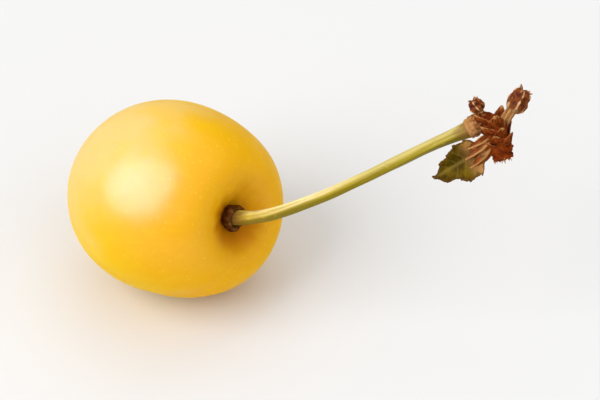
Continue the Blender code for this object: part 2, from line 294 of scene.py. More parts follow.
def offSuture(around):
    # the angle to the suture, which lies at -Y before the fruit is turned
    return abs((around + pi / 2 + pi) % (2 * pi) - pi)


def skinPoint(polar, around):
    form = skinForm
    off = offSuture(around)
    reach = skinReach(polar)
    folds = cos(form["creases"] * around + 1.4 * sin(2 * around)) + 0.5 * cos(5 * around + 2)
    reach += form["crease"] * folds * hill(polar - form["creaseAngle"], form["creaseSpread"])
    reach -= form["sutureLine"] * hill(off, form["sutureLineSpread"]) * sin(polar)
    reach -= form["tipDimple"] * hill(pi - polar, form["tipDimpleSpread"])
    flat = form["sutureFlat"] * hill(off, form["sutureFlatSpread"]) * sin(polar) ** 2
    groove = form["suture"] * hill(off, form["sutureSpread"]) * sin(polar)
    across = reach * sin(polar) * (1 - flat - groove)
    point = Vector((
        across * cos(around) * form["cheeks"],
        across * sin(around) * form["depth"],
        reach * cos(polar),
    ))
    rise = sum(height * bumpy(point, width, 3) for width, height in form["uneven"])
    return point + point.normalized() * rise


def pressed(point):
    # the skin gives way softly where it lies on the ground
    height = point.z + fruitPlace["middle"].z
    soft = (height + sqrt(height**2 + skinForm["press"] ** 2)) / 2
    return Vector((point.x, point.y, soft - fruitPlace["middle"].z))


def makeSkin():
    form = skinForm
    bm = bmesh.new()
    cavity = bm.verts.layers.float.new("cavity")
    suture = bm.verts.layers.float.new("suture")
    tip = bm.verts.layers.float.new("tip")
    for vert in addBall(bm, form["segments"], form["rings"]):
        share = vert.co.angle(Vector((0, 0, 1))) / pi
        polar = pi * (share - form["crowding"] * sin(2 * pi * share) / (2 * pi))
        around = atan2(vert.co.y, vert.co.x)
        vert[cavity] = exp(-((polar / form["cavityTint"]) ** form["cavityTintPower"]))
        vert[suture] = hill(offSuture(around), form["sutureTint"]) * sin(polar)
        vert[tip] = hill(pi - polar, form["tipTint"])
        vert.co = pressed(fruitTurn @ skinPoint(polar, around))
    return finishPiece(bm, "cherrySkin", makeSkinFinish(), ["fruit"])


skinColours = {
    "golden": (0.94, 0.53, 0.003),
    "lemon": (0.97, 0.61, 0.008),
    "amber": (0.90, 0.40, 0.001),
    "pale": (0.93, 0.64, 0.23),      # painted sheen of the light and sky, on the side towards them
    "stemwardGolden": (0.90, 0.44, 0.0005),    # deeper golden towards the stem
    "deep": (0.62, 0.23, 0.001),     # in the cavity, partly its own deeper colour and partly painted shade; also at the tip
    # painted shade on the cavity's lower side
    "paintedCavityShade": (0.55, 0.17, 0.0005),
    "dot": (1.0, 0.74, 0.12),
    "russet": (0.36, 0.15, 0.03),
}


skinGrain = {                # scales are repeats in a millimetre
    "broad": 0.07, "patches": 0.16, "mottle": 0.9, "border": 0.12,
    "threads": 1.1, "threadStretch": (1, 1, 0.3),
    "dots": 1.5, "dotFade": (0.08, 0.22), "dotDepth": 0.012,
    "specks": 0.34, "speckFade": (0.02, 0.055),
    "pores": 3.2, "poreDepth": 0.03,
    "glow": 0.4, "glowDepth": 2.6,
}


def offTowards(tree, coords, side):
    # how far a point of the fruit lies towards a side, in millimetres
    way = fruitTurn.inverted() @ side.normalized()
    return addNode(tree, "VectorMath", {0: coords, 1: way}, operation="DOT_PRODUCT").outputs["Value"]


def makeSkinFinish():
    grains, colours = skinGrain, skinColours
    finish, tree, shader = newFinish(
        "waxySkin", 0.5, Subsurface_Weight=grains["glow"], Subsurface_Scale=grains["glowDepth"] * mm,
        Specular_IOR_Level=0.05, Coat_Roughness=0.32, Coat_IOR=1.62)
    shader.inputs["Specular Tint"].default_value = (1.0, 0.85, 0.5, 1.0)
    shader.inputs["Subsurface Radius"].default_value = (1.0, 0.45, 0.12)
    coords = fruitCoords(tree)

    broad = fade(tree, grain(tree, coords, grains["broad"], 2.0, 0.4), 0.36, 0.66)
    colour = tint(tree, broad, colours["golden"], colours["lemon"])
    patches = fade(tree, grain(tree, coords, grains["patches"], 3.0, 0.8), 0.5, 0.78, 0.0, 0.5)
    colour = tint(tree, patches, colour, colours["amber"])
    mottle = fade(tree, grain(tree, coords, grains["mottle"], 4.0), 0.35, 0.7, 0.0, 0.22)
    colour = tint(tree, mottle, colour, colours["lemon"])

    # deeper golden towards the stem, and a painted sheen of the light and sky, paler on the side towards
    # them, both with a soft uneven border
    uneven = fade(tree, grain(tree, coords, grains["border"], 3.0), 0.3, 0.7, -2.5, 2.5)
    height = addNode(tree, "SeparateXYZ", {"Vector": coords}).outputs["Z"]
    stemwardGolden = fade(tree, plus(tree, height, uneven), -3.0, 10.0, 0.0, 0.8)
    colour = tint(tree, stemwardGolden, colour, colours["stemwardGolden"])
    # painted sheen: paler cream towards the key light and sky
    side = plus(tree, offTowards(tree, coords, skinForm["paintedSheenSide"]), uneven)
    colour = tint(tree, fade(tree, side, 2.8, 12.8, 0.0, 0.9), colour, colours["pale"])

    # pale threads under the skin, drawn out from the stem to the tip
    drawn = stretched(tree, coords, grains["threadStretch"])
    threads = grain(tree, drawn, grains["threads"], 3.0, 0.4)
    thread = fade(tree, threads, 0.52, 0.68, 0.0, 0.2)
    colour = tint(tree, thread, colour, colours["lemon"])

    # lenticels
    dots = cells(tree, coords, grains["dots"])
    dot = fade(tree, dots.outputs["Distance"], *grains["dotFade"], 1.0, 0.0)
    red = addNode(tree, "SeparateColor", {"Color": dots.outputs["Color"]}).outputs["Red"]
    dot = times(tree, dot, fade(tree, red, 0.2, 0.9, 0.05, 0.5))
    colour = tint(tree, dot, colour, colours["dot"])

    # a few russet specks
    specks = cells(tree, coords, grains["specks"])
    speck = fade(tree, specks.outputs["Distance"], *grains["speckFade"], 1.0, 0.0)
    odd = addNode(tree, "SeparateColor", {"Color": specks.outputs["Color"]}).outputs["Green"]
    speck = times(tree, speck, fade(tree, odd, 0.62, 0.72, 0.0, 0.75))
    colour = tint(tree, speck, colour, colours["russet"])

    # deeper in the cavity, partly its own colour and partly painted shade, with painted shade deepest on
    # its lower side, and a little at the suture and the tip
    cavity = attribute(tree, "cavity")
    patchy = fade(tree, grain(tree, coords, 0.8), 0.2, 0.8, 0.45, 0.9)
    colour = tint(tree, times(tree, cavity, patchy), colour, colours["deep"])
    lower = fade(tree, offTowards(tree, coords, skinForm["paintedShadeSide"]), -0.8, 1.2)
    within = fade(tree, cavity, 0.35, 0.9, 0.0, 0.8)
    colour = tint(tree, times(tree, lower, within), colour, colours["paintedCavityShade"])
    line = times(tree, attribute(tree, "suture"), 0.3)
    colour = tint(tree, line, colour, colours["amber"])
    tip = times(tree, attribute(tree, "tip"), 0.45)
    colour = tint(tree, tip, colour, colours["deep"])

    # the wax is thin at the edges and almost gone in the cavity
    facing = addNode(tree, "LayerWeight", {"Blend": 0.5}).outputs["Facing"]
    wax = fade(tree, facing, 0.08, 0.5, 0.5, 0.05)
    wax = times(tree, wax, fade(tree, cavity, 0.2, 0.9, 1.0, 0.1))
    tree.links.new(wax, shader.inputs["Coat Weight"])

    shine = fade(tree, grain(tree, coords, 0.5, 3.0), 0.3, 0.7, 0.45, 0.56)
    pores = relief(tree, grain(tree, coords, grains["pores"], 3.0), grains["poreDepth"], 0.35)
    raised = relief(tree, dot, grains["dotDepth"], 0.5, pores)
    dress(tree, shader, colour, shine, raised)
    return finish


# The small dry scar at the blossom end

scarForm = {
    "radius": 0.52,
    "height": 0.22,
    "points": 5, "point": 0.22,
    "uneven": 0.12, "crumble": 0.4,
    "rings": 6, "sides": 20,
}


def makeScar():
    form = scarForm
    bm = bmesh.new()
    crest = bm.verts.layers.float.new("crest")
    seat = -skinReach(pi) + skinForm["tipDimple"]
    for vert in addBall(bm, form["sides"], 2 * form["rings"]):
        around = atan2(vert.co.y, vert.co.x)
        star = 1 + form["point"] * cos(form["points"] * around) + form["uneven"] * bumpy(vert.co, 0.4, 5)
        height = form["height"] * (1 + form["crumble"] * bumpy(vert.co, 0.35, 7))
        vert[crest] = abs(vert.co.z)
        vert.co = fruitTurn @ Vector((
            vert.co.x * form["radius"] * star,
            vert.co.y * form["radius"] * star,
            seat + vert.co.z * height,
        ))
    return finishPiece(bm, "blossomScar", corkFinish)


# The corky ring in the cavity, where the stem's foot stands

ringForm = {
    "outline": [   # radius and height along the stem axis, from the inside over the top
        (0.76, 8.95), (0.90, 9.65), (1.02, 9.92), (1.18, 10.04), (1.34, 9.98),
        (1.46, 9.72), (1.53, 9.38), (1.45, 8.9), (0.95, 8.5),
    ],
    "steps": 64,
    "lobes": 5, "lobe": 0.07, "lobeRise": 0.05,
    "crumble": 0.09, "crumbleWidth": 0.45,
    "crestFoot": 9.2, "crestRise": 0.9,      # where its dry pale crest starts, and over what height
}


def makeCorkRing():
    form = ringForm
    bm = bmesh.new()
    crest = bm.verts.layers.float.new("crest")
    corners = [bm.verts.new((radius, 0, height)) for radius, height in form["outline"]]
    edges = [bm.edges.new(pair) for pair in zip(corners, corners[1:] + corners[:1])]
    bmesh.ops.subdivide_edges(bm, edges=edges, cuts=1)
    bmesh.ops.spin(bm, geom=[*bm.verts, *bm.edges], cent=(0, 0, 0), axis=(0, 0, 1),
                   angle=2 * pi, steps=form["steps"], use_merge=True)
    bmesh.ops.remove_doubles(bm, verts=bm.verts, dist=0.001)
    bmesh.ops.recalc_face_normals(bm, faces=bm.faces)
    for vert in bm.verts:
        around = atan2(vert.co.y, vert.co.x)
        wave = 1 + form["lobe"] * cos(form["lobes"] * around + 0.6)
        crumb = form["crumble"] * bumpy(vert.co, form["crumbleWidth"], 2)
        vert[crest] = min(1.0, max(0.0, (vert.co.z - form["crestFoot"]) / form["crestRise"]))
        vert.co.x *= wave
        vert.co.y *= wave
        vert.co.z += crumb + form["lobeRise"] * cos(form["lobes"] * around)
        vert.co = fruitTurn @ vert.co
    return finishPiece(bm, "corkRing", corkFinish, ["receptacle"])


corkColours = {
    "dark": (0.05, 0.014, 0.002),
    "brown": (0.16, 0.055, 0.008),
    "dry": (0.34, 0.15, 0.03),
}


def makeCorkFinish():
    finish, tree, shader = newFinish("corkyTissue", 0.82, Specular_IOR_Level=0.03)
    colours = corkColours
    coords = fruitCoords(tree)
    lumps = grain(tree, coords, 2.2, 5.0)
    colour = tint(tree, fade(tree, lumps, 0.3, 0.7), colours["dark"], colours["brown"])
    patchy = fade(tree, grain(tree, coords, 1.3, 3.0), 0.45, 0.7, 0.0, 0.7)
    colour = tint(tree, times(tree, attribute(tree, "crest"), patchy), colour, colours["dry"])
    rough = fade(tree, lumps, 0.2, 0.8, 0.7, 0.92)
    dress(tree, shader, colour, rough, relief(tree, grain(tree, coords, 5.0, 5.0), 0.08, 0.8))
    return finish


# The stem

stemForm = {
    "foot": 9.3,                # along the stem axis, down in the corky ring
    "route": [
        Vector((9.0, -6.95, 3.85)), Vector((11.8, -7.8, 5.4)), Vector((16.3, -8.0, 7.75)),
        Vector((20.8, -7.5, 9.95)), Vector((25.2, -6.8, 12.25)), Vector((29.3, -6.0, 14.25)),
        Vector((33.2, -5.1, 15.7)),
    ],
    "perSpan": 26,
    "sides": 40,
    "radius": 0.63,
    "footFlare": 0.25, "footFlareLength": 6.0,
    "endFlare": 0.36, "endFlareLength": 2.2,
    "ridges": 5, "fineRidges": 8, "ridge": 0.03, "twist": 1.7,
    "wrinkles": 13, "wrinkle": 0.028, "wrinkleLength": 2.6,   # only near both ends
    "knobble": 0.04, "knobbleWidth": 1.6,
    "footBrown": 0.95, "footBrownLength": 5.0, "endBrownLength": 1.8,   # it dries brown at both ends
    "paintedLightFrom": Vector((-0.3, 0.55, 0.8)),   # the side painted lit; the side away from it is painted in shade
}


def stemLength(route):
    return sum((end - start).length for start, end in zip(route, route[1:]))


def makeStem():
    form = stemForm
    foot = fruitPlace["stemAxis"].normalized() * form["foot"]
    route = smoothRoute([foot, *form["route"]], form["perSpan"])
    length = stemLength(route)

    def radiusAt(share, around):
        fromFoot, fromEnd = share * length, (1 - share) * length
        radius = form["radius"] + form["footFlare"] * exp(-fromFoot / form["footFlareLength"])
        radius += form["endFlare"] * exp(-fromEnd / form["endFlareLength"])
        turned = around + form["twist"] * share
        ridges = cos(form["ridges"] * turned) + 0.5 * cos(form["fineRidges"] * turned + 1)
        ridges *= form["ridge"]
        nearEnds = exp(-fromFoot / form["wrinkleLength"]) + exp(-fromEnd / form["wrinkleLength"])
        wrinkles = form["wrinkle"] * cos(form["wrinkles"] * around) * nearEnds
        place = Vector((cos(around), sin(around), share * length * 0.7))
        return radius + ridges + wrinkles + form["knobble"] * bumpy(place, form["knobbleWidth"], 4)

    bm = bmesh.new()
    straight = bm.verts.layers.float_vector.new("straight")
    ends = bm.verts.layers.float.new("ends")
    paintedLitSide = bm.verts.layers.float.new("paintedLitSide")

    def paint(vert, share, flat):
        vert[straight] = flat + Vector((0, 0, share * length))
        fromFoot, fromEnd = share * length, (1 - share) * length
        vert[ends] = max(form["footBrown"] * exp(-fromFoot / form["footBrownLength"]),
                         exp(-fromEnd / form["endBrownLength"]))

    addTube(bm, route, form["sides"], radiusAt, paint)
    bm.normal_update()
    for vert in bm.verts:
        vert[paintedLitSide] = vert.normal.dot(form["paintedLightFrom"].normalized())
    return finishPiece(bm, "stemStalk", makeStemFinish(), ["stem"])


stemColours = {
    "green": (0.37, 0.32, 0.010),
    "yellow": (0.66, 0.49, 0.030),
    # painted light on the stem's upper side, and painted shade under it
    "paintedLightStraw": (1.0, 0.84, 0.42),
    "shade": (0.24, 0.18, 0.003),
    "brown": (0.28, 0.15, 0.02),
    "dot": (0.66, 0.50, 0.12),
}


def makeStemFinish():
    finish, tree, shader = newFinish(
        "greenStalk", 0.45, Subsurface_Weight=0.15, Subsurface_Scale=0.5 * mm, Specular_IOR_Level=0.14)
    shader.inputs["Subsurface Radius"].default_value = (0.7, 1.0, 0.25)
    colours = stemColours
    straight = attribute(tree, "straight", "Vector")
    streaks = grain(tree, stretched(tree, straight, (1, 1, 0.09)), 2.2, 3.0)
    fromFoot = addNode(tree, "SeparateXYZ", {"Vector": straight}).outputs["Z"]   # millimetres

    # green, turned yellow towards the foot
    ripened = times(tree, fade(tree, streaks, 0.3, 0.68), fade(tree, fromFoot, 9.0, 24.0, 1.0, 0.4))
    colour = tint(tree, ripened, colours["green"], colours["yellow"])

    # painted light in straw on the upper side, palest in the first half of its length, and painted shade
    # underneath
    drawn = grain(tree, stretched(tree, straight, (1, 1, 0.12)), 1.3, 3.0)
    paintedLitSide = plus(tree, attribute(tree, "paintedLitSide"), fade(tree, drawn, 0.3, 0.7, -0.16, 0.16))
    paintedLightShare = fade(tree, fromFoot, 1.0, 10.0, 0.05, 1.0)
    paintedLightShare = times(tree, paintedLightShare, fade(tree, paintedLitSide, 0.22, 0.88, 0.0, 0.9))
    paintedLightShare = times(tree, paintedLightShare, fade(tree, fromFoot, 11.0, 20.0, 1.0, 0.4))
    colour = tint(tree, paintedLightShare, colour, colours["paintedLightStraw"])
    colour = tint(tree, fade(tree, paintedLitSide, -0.45, 0.55, 0.95, 0.0), colour, colours["shade"])

    # small raised dots, and brown dry ends with an uneven border
    dots = cells(tree, stretched(tree, straight, (1, 1, 0.5)), 1.5)
    dot = fade(tree, dots.outputs["Distance"], 0.08, 0.2, 0.3, 0.0)
    colour = tint(tree, dot, colour, colours["dot"])
    stains = grain(tree, stretched(tree, straight, (1, 1, 0.3)), 1.8, 4.0)
    browned = plus(tree, attribute(tree, "ends"), fade(tree, stains, 0.3, 0.7, -0.25, 0.15))
    colour = tint(tree, fade(tree, browned, 0.12, 0.8, 0.0, 0.92), colour, colours["brown"])

    fine = grain(tree, stretched(tree, straight, (1, 1, 0.12)), 7.0, 3.0)
    normal = relief(tree, fine, 0.03, 0.5, relief(tree, dot, 0.02, 0.6))
    rough = plus(tree, fade(tree, streaks, 0.2, 0.8, 0.36, 0.5), fade(tree, browned, 0.1, 0.8, 0.0, 0.3))
    dress(tree, shader, colour, rough, normal)
    return finish


# The spur: its woody core, the stub towards the stem, the bud scales and the broken end

spurForm = {
    "middle": Vector((36.3, -6.3, 15.25)),
    "axis": Vector((-0.28, 0.52, 0.81)),
    "length": 4.5,
    "radius": 1.3,
    "rings": 4, "ring": 0.12, "lip": 0.35,     # the finer lips are a share of the ring's height
    "endRounding": 0.22, "endPower": 6,
    "sides": 56, "rows": 96,
    "bark": 0.07,
    "torn": 0.35, "hollow": 0.3,   # the broken end is rough, and its middle lies deeper
    "dome": 0.5,                   # the other end
    "splinters": 22, "splinterSeed": 5, "splinterSpread": 0.9,
    "splinterLengths": (0.2, 0.7), "splinterRadii": (0.06, 0.15), "splinterLean": 0.6,   # radians
}
spurTurn = Matrix.Translation(spurForm["middle"]) @ axisTurn(spurForm["axis"])

stubForm = {
    "route": [
        Vector((36.2, -6.1, 15.5)), Vector((35.4, -5.3, 16.45)),
        Vector((34.5, -4.9, 16.55)), Vector((33.5, -5.05, 15.9)), Vector((32.9, -5.2, 15.65)),
    ],
    "radii": [1.3, 1.25, 1.15, 1.14, 1.02],
    "collars": [(0.74, 0.05, 0.10), (0.9, 0.04, 0.08)],   # share of its length, width and height
    "perSpan": 12,
    "sides": 44,
    "crust": 0.11,
}


def addCore(bm, dry):
    form = spurForm
    bmesh.ops.create_cone(bm, cap_ends=True, segments=form["sides"], radius1=1, radius2=1, depth=1)
    uprights = [edge for edge in bm.edges if abs(edge.verts[0].co.z - edge.verts[1].co.z) > 0.5]
    bmesh.ops.subdivide_edges(bm, edges=uprights, cuts=form["rows"] - 1)
    caps = [face for face in bm.faces if len(face.verts) == form["sides"]]
    for thickness in (0.2, 0.25, 0.25):
        bmesh.ops.inset_individual(bm, faces=caps, thickness=thickness)
    bmesh.ops.poke(bm, faces=caps)
    for vert in bm.verts:
        share = vert.co.z + 0.5
        inward = 1 - min(1.0, sqrt(vert.co.x**2 + vert.co.y**2))   # 0 on the bark, 1 at the pith
        ring = form["ring"] * cos(2 * pi * form["rings"] * share)
        lip = form["lip"] * form["ring"] * cos(6 * pi * form["rings"] * share + 0.8)
        end = form["endRounding"] * (2 * share - 1) ** form["endPower"]
        width = form["radius"] * (1 - end) + ring + lip
        flat = Vector((vert.co.x, vert.co.y, 0))
        place = Vector((vert.co.x * 1.2, vert.co.y * 1.2, share * form["length"] * 0.45))
        width += form["bark"] * (bumpy(place, 0.42, 1) + 0.6 * bumpy(place, 0.2, 2))
        height = (share - 0.5) * form["length"]
        vert[dry] = 0.0
        if share < 0.001:      # the broken end, torn and splintered
            vert[dry] = min(1.0, 0.35 + inward)
            height += form["torn"] * bumpy(place, 0.25, 6) + form["hollow"] * inward
        elif share > 0.999:
            height += form["dome"] * inward
        vert.co = spurTurn @ (flat * width + Vector((0, 0, height)))


def addStub(bm, dry):
    form = stubForm
    route = smoothRoute(form["route"], form["perSpan"])
    count = len(form["radii"]) - 1

    def radiusAt(share, around):
        span = min(count - 1, int(share * count))
        part = share * count - span
        radius = form["radii"][span] * (1 - part) + form["radii"][span + 1] * part
        place = Vector((cos(around), sin(around), share * 4))
        collar = sum(height * hill(share - middle, width) for middle, width, height in form["collars"])
        return radius + collar + form["crust"] * (bumpy(place, 0.5, 8) + 0.5 * bumpy(place, 0.2, 9))

    def paint(vert, share, flat):
        vert[dry] = min(1.0, max(0.0, 1.5 * share - 0.35))

    addTube(bm, route, form["sides"], radiusAt, paint)


def addSplinters(bm, dry):
    form = spurForm
    draw = random.Random(form["splinterSeed"])
    for _ in range(form["splinters"]):
        around = draw.uniform(0, 2 * pi)
        out = form["radius"] * form["splinterSpread"] * sqrt(draw.random())
        tall = draw.uniform(*form["splinterLengths"])
        thick = draw.uniform(*form["splinterRadii"])
        splinter = bmesh.ops.create_cone(bm, cap_ends=True, cap_tris=True, segments=6, radius1=thick,
                                         radius2=thick * 0.25, depth=tall)["verts"]
        lean = draw.uniform(-form["splinterLean"], form["splinterLean"])
        turn = Matrix.Rotation(lean, 4, "X") @ Matrix.Rotation(pi, 4, "Y")
        place = Matrix.Translation((out * cos(around), out * sin(around), -form["length"] / 2 - 0.1))
        bmesh.ops.transform(bm, matrix=spurTurn @ place @ turn, verts=splinter)
        for vert in splinter:
            vert[dry] = 1.0


def makeSpurWood():
    bm = bmesh.new()
    dry = bm.verts.layers.float.new("dry")
    addCore(bm, dry)
    addStub(bm, dry)
    addSplinters(bm, dry)
    bmesh.ops.recalc_face_normals(bm, faces=bm.faces)
    return finishPiece(bm, "spurWood", barkFinish, ["spur"], radians(60))


scaleForm = {
    "count": 14,
    "turn": radians(137.5),
    "lowest": -0.42, "span": 0.62,     # shares of the core's length
    "length": 2.5, "width": 2.3, "thickness": 0.5,
    "sink": 0.85,
    "point": 0.55, "cup": 0.9,
    "sizes": (0.8, 1.1), "leans": (0.35, 1.0), "tilts": (0.05, 0.3), "shifts": (-0.2, 0.2),
    "seed": 11,
    "segments": 32, "rings": 24,
    "keel": 0.10, "keelWidth": 0.16,
    "ribs": 0.025, "ribFineness": 17,
    "fray": 0.16, "curl": 0.18,
    "thinning": 0.55,          # how much thinner it gets towards its tip
}


def makeBudScales():
    form = scaleForm
    bm = bmesh.new()
    dry = bm.verts.layers.float.new("dry")
    leaf = bm.verts.layers.float_vector.new("leaf")
    draw = random.Random(form["seed"])
    for index in range(form["count"]):
        size, lean = draw.uniform(*form["sizes"]), draw.uniform(*form["leans"])
        around = index * form["turn"] + draw.uniform(*form["shifts"])
        tilt = draw.uniform(*form["tilts"])
        height = spurForm["length"] * (form["lowest"] + form["span"] * index / (form["count"] - 1))
        place = Matrix.Rotation(around, 4, "Z") @ Matrix.Translation((form["sink"], 0, height))
        place = spurTurn @ place @ Matrix.Rotation(tilt, 4, "Y")
        for vert in addBall(bm, form["segments"], form["rings"]):
            share = (vert.co.z + 1) / 2
            outer = max(0.0, vert.co.x)
            margin = 1 - abs(vert.co.x)
            across = vert.co.y * form["width"] / 2 * size * (1 - form["point"] * share**3)
            along = Vector((across, share * 3, index * 4.0))
            across *= 1 + form["fray"] * bumpy(along, 0.35, 1) * margin * share
            cup = -form["cup"] * across**2 / form["width"]
            thick = vert.co.x * form["thickness"] / 2 * (1 - form["thinning"] * share)
            keel = form["keel"] * hill(across, form["keelWidth"]) * outer
            ribs = form["ribs"] * cos(across * form["ribFineness"]) * outer
            curl = form["curl"] * margin * share * bumpy(along, 0.9, 3)
            tip = form["fray"] * bumpy(along, 0.3, 2) * share**3
            vert[leaf] = Vector((across, share * form["length"], index * 3.0))
            vert[dry] = min(1.0, margin**3 * 0.7 * share + share**4 * 0.6)
            vert.co = place @ Vector((
                thick + cup + lean * share**2 + keel + ribs + curl,
                across,
                share * form["length"] * size + tip,
            ))
    return finishPiece(bm, "budScales", scaleFinish, ["spur"])


# Dry folded stipules between the stem's end and the bract

stipuleForm = {
    "places": [   # root, tip, and the way its face looks
        (Vector((35.5, -6.6, 15.9)), Vector((32.7, -7.6, 14.9)), Vector((0.2, -0.9, 0.5))),
        (Vector((35.6, -7.0, 15.5)), Vector((32.5, -8.4, 14.0)), Vector((0.1, -0.7, 0.7))),
        (Vector((35.7, -7.2, 15.0)), Vector((33.0, -8.8, 13.1)), Vector((0.3, -0.9, 0.3))),
    ],
    "width": 1.5, "narrowing": 0.98, "thickness": 0.17,
    "arch": 0.55,
    "folds": 9.0, "fold": 0.06,
    "ragged": 0.25,
    "segments": 48, "rings": 48,
}


def makeStipules():
    form = stipuleForm
    bm = bmesh.new()
    dry = bm.verts.layers.float.new("dry")
    leaf = bm.verts.layers.float_vector.new("leaf")
    for index, (root, tip, face) in enumerate(form["places"]):
        along = (tip - root).normalized()
        side = along.cross(face).normalized()
        place = Matrix.Translation(root) @ turnTo(side.cross(along), side, along)
        length = (tip - root).length
        for vert in addBall(bm, form["segments"], form["rings"]):
            share = (vert.co.z + 1) / 2
            across = vert.co.y * form["width"] / 2 * (1.12 - form["narrowing"] * share**1.6)
            spot = Vector((across, share * 3, index * 5.0))
            ragged = form["ragged"] * bumpy(spot, 0.3, 4) * share**2
            folds = form["fold"] * cos(across * form["folds"] + 1.5 * bumpy(spot, 1.2, 5))
            arch = form["arch"] * sin(pi * share) - 0.5 * across**2
            vert[leaf] = spot
            vert[dry] = 0.3 + 0.6 * max(0.0, folds / form["fold"])
            vert.co = place @ Vector((
                vert.co.x * form["thickness"] / 2 + folds + arch,
                across * (1 + ragged),
                share * length + ragged,
            ))
    return finishPiece(bm, "dryStipules", scaleFinish)


barkColours = {
    "dark": (0.07, 0.008, 0.0005),
    "red": (0.25, 0.042, 0.003),
    "flake": (0.34, 0.10, 0.02),
    "worn": (0.57, 0.29, 0.10),
    "line": (0.34, 0.11, 0.02),
}


def makeBarkFinish(name, ribbed):
    finish, tree, shader = newFinish(name, 0.7, Specular_IOR_Level=0.02)
    colours = barkColours
    coords = fruitCoords(tree)
    lumps = grain(tree, coords, 1.5, 5.0)
    colour = tint(tree, fade(tree, lumps, 0.32, 0.66), colours["dark"], colours["red"])
    flakes = fade(tree, grain(tree, coords, 3.4, 3.0), 0.58, 0.72, 0.0, 0.45)
    colour = tint(tree, flakes, colour, colours["flake"])
    fine = grain(tree, coords, 6.0, 5.0)
    if ribbed:      # worn and raised in fine lines along each scale
        leaf = attribute(tree, "leaf", "Vector")
        lines = grain(tree, stretched(tree, leaf, (1, 0.08, 1)), 9.0, 2.0)
        uneven = grain(tree, stretched(tree, leaf, (1, 0.14, 1)), 4.0, 3.0)
        height = plus(tree, lines, times(tree, fine, 0.4))
    else:
        uneven = grain(tree, coords, 2.4, 4.0)
        height = fine
    worn = plus(tree, attribute(tree, "dry"), fade(tree, uneven, 0.2, 0.8, -0.3, 0.3))
    colour = tint(tree, fade(tree, worn, 0.25, 0.85, 0.0, 0.9), colour, colours["worn"])
    if ribbed:
        colour = tint(tree, fade(tree, lines, 0.45, 0.7, 0.0, 0.45), colour, colours["line"])
    rough = fade(tree, lumps, 0.2, 0.8, 0.58, 0.82)
    dress(tree, shader, colour, rough, relief(tree, height, 0.06, 0.8))
    return finish


# The bract below the stem's end, a thin folded leaf scale with teeth and veins

bractForm = {
    "foot": Vector((35.3, -7.1, 15.0)),
    "tip": Vector((29.3, -9.0, 12.2)),
    "face": Vector((0.1, -0.8, 0.6)),
    "width": 4.0, "footWidth": 1.0, "footShare": 0.2, "tipWidth": 0.2,
    "widest": 0.5, "fullness": 0.9, "lowerShare": 1.15,   # the half that hangs down is wider
    "thickness": 0.26,
    "fold": 0.4, "curl": 1.2,
    "teeth": 6, "tooth": 0.14, "fineTeeth": 4, "fineTooth": 0.05,
    "veins": 7, "vein": 0.07, "veinLean": 1.1, "veinWidth": 0.12, "midribWidth": 0.16,
    "ruffle": 0.22, "ruffles": 21,
    "spans": 110, "ribs": 36,
}


def bractHalfWidth(along):
    form = bractForm
    blade = max(0.0, (along - form["footShare"]) / (1 - form["footShare"]))
    outline = max(0.0, sin(pi * blade ** form["widest"])) ** form["fullness"]
    tooth = form["tooth"] * ((along * form["teeth"]) % 1.0)
    tooth += form["fineTooth"] * ((along * form["teeth"] * form["fineTeeth"]) % 1.0)
    foot = form["footWidth"] * (1 - along) + form["tipWidth"] * along
    return (foot + (form["width"] - form["footWidth"]) * outline * (1 + tooth)) / 2


def makeBract():
    form = bractForm
    length = (form["tip"] - form["foot"]).length
    alongAxis = (form["tip"] - form["foot"]).normalized()
    sideAxis = form["face"].cross(alongAxis).normalized()
    turn = turnTo(alongAxis, sideAxis, alongAxis.cross(sideAxis))
    place = Matrix.Translation(form["foot"]) @ turn
    bm = bmesh.new()
    leaf = bm.verts.layers.float_vector.new("leaf")
    vein = bm.verts.layers.float.new("vein")
    edge = bm.verts.layers.float.new("edge")
    bmesh.ops.create_grid(bm, x_segments=form["spans"], y_segments=form["ribs"], size=1)
    for vert in bm.verts:
        along, side = (vert.co.x + 1) / 2, vert.co.y
        across = side * bractHalfWidth(along) * (form["lowerShare"] if side > 0 else 1)
        start = along * form["veins"] - abs(side) * form["veinLean"]   # side veins run forward
        line = hill((start + 0.5) % 1.0 - 0.5, form["veinWidth"]) * (1 - abs(side)) ** 0.5
        rib = max(hill(across, form["midribWidth"]), 0.65 * line if along < 0.95 else 0.0)
        wave = sin(along * form["ruffles"] + 2 * side)
        ruffle = form["ruffle"] * abs(side) ** 2 * wave * min(1.0, along * 2)
        vert[leaf] = Vector((across, along * length, 0))
        vert[vein] = rib
        vert[edge] = abs(side) ** 6 + along**8
        vert.co = place @ Vector((
            length * along,
            across,
            form["fold"] * abs(across) + form["curl"] * along**2 + form["vein"] * rib + ruffle,
        ))
    bmesh.ops.recalc_face_normals(bm, faces=bm.faces)
    for vert in bm.verts:      # half the thickness back, so that the sheet's middle stays
        vert.co -= vert.normal * form["thickness"] / 2
    bmesh.ops.solidify(bm, geom=bm.faces[:], thickness=form["thickness"])
    return finishPiece(bm, "bractBlade", makeBractFinish(), ["bract"])


bractColours = {
    "dark": (0.06, 0.032, 0.0003),
    "olive": (0.165, 0.10, 0.0006),
    "vein": (0.30, 0.22, 0.04),
    "tan": (0.60, 0.29, 0.09),       # its dry part near the foot
    "edge": (0.13, 0.06, 0.006),
}


